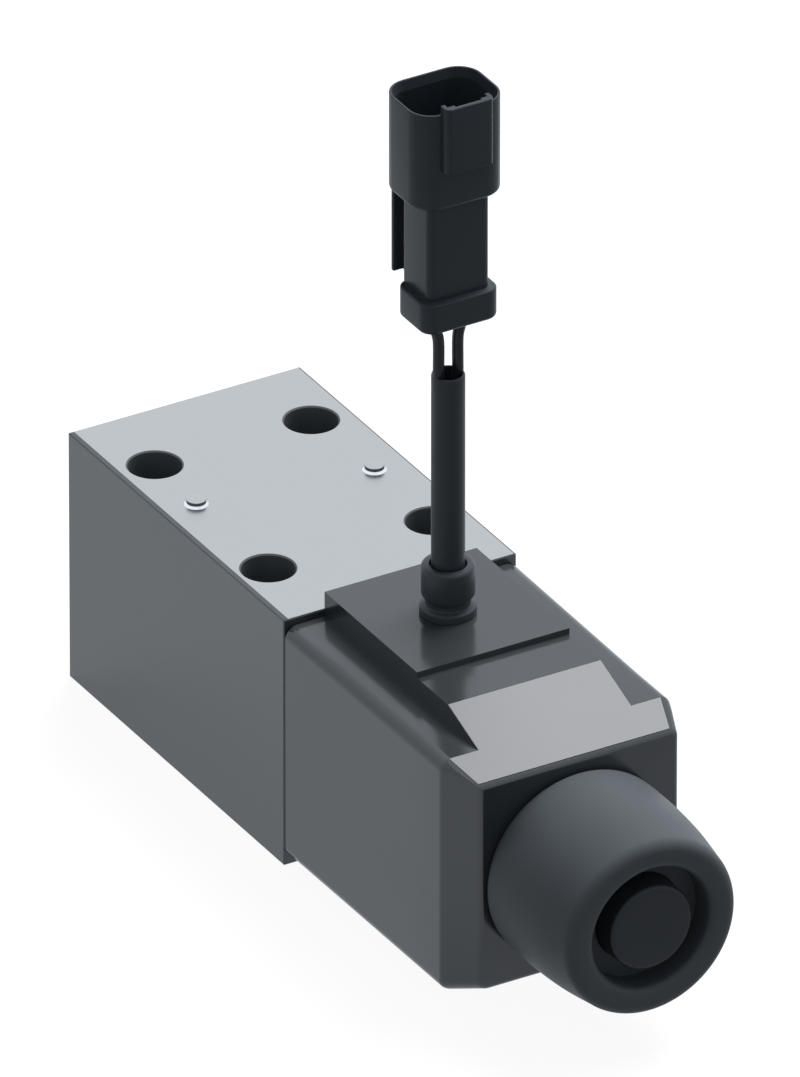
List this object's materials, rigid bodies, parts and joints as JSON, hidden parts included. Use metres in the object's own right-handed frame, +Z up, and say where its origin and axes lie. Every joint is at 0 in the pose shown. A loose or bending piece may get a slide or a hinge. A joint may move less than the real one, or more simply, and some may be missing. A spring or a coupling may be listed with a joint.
{
  "type": "solenoid directional control valve",
  "caption": "Size 6 directional control valve with one solenoid, spring return, manual override and a short lead with a two-pole receptacle.",
  "frame": {"origin": "centre of the four mounting holes, on the mounting face", "axes": "+X along the spool towards the solenoid, +Z up out of the mounting face, +Y across the valve towards port T"},
  "size_m": [0.1605, 0.046, 0.1547],
  "materials": {
    "body_iron": "machined",
    "steel_bright": "ground",
    "steel_dark": "turned",
    "seal_rubber": "matte",
    "coil_plastic": "satin",
    "bobbin_plastic": "satin",
    "winding_copper": "lacquered",
    "boot_rubber": "matte",
    "button_plastic": "matte",
    "cable_jacket": "satin",
    "connector_plastic": "satin",
    "contact_metal": "plated"
  },
  "bodies": {
    "valve": {"valve_body": "body_iron", "port_seals": "seal_rubber", "plate_rivets": "steel_bright", "end_plug": "steel_dark", "end_plug_seal": "seal_rubber", "return_spring": "steel_bright", "pole_piece": "steel_dark", "pole_seal": "seal_rubber", "armature_tube": "steel_bright", "tube_end": "steel_dark", "override_pin_seal": "seal_rubber", "coil_housing": "coil_plastic", "coil_yoke": "steel_dark", "rear_flux_plate": "steel_dark", "front_flux_plate": "steel_dark", "coil_bobbin": "bobbin_plastic", "coil_winding": "winding_copper", "coil_rear_seal": "seal_rubber", "coil_front_seal": "seal_rubber", "coil_nut": "steel_dark", "nut_boot": "boot_rubber", "cable_gland": "cable_jacket", "lead_jacket": "cable_jacket", "lead_cores": "cable_jacket", "connector_shell": "connector_plastic", "connector_seal": "seal_rubber", "connector_wedge": "connector_plastic", "contact_pins": "contact_metal"},
    "spool_group": {"spool": "steel_bright", "spring_seat": "steel_dark", "push_pin": "steel_bright", "armature": "steel_dark"},
    "override": {"override_button": "button_plastic", "override_pin": "steel_bright"}
  },
  "joints": [
    {"name": "spool_shift", "type": "slide", "parent": "valve", "child": "spool_group", "axis": [-1, 0, 0], "range_m": [0, 0.003], "stiffness_N_per_m": 4000, "springref_m": -0.004, "deforming": ["return_spring"]},
    {"name": "override_press", "type": "slide", "parent": "valve", "child": "override", "axis": [-1, 0, 0], "range_m": [0, 0.003]}
  ],
  "couplings": [
    {"joint": "override_press", "follows": "spool_shift", "ratio": 1}
  ]
}
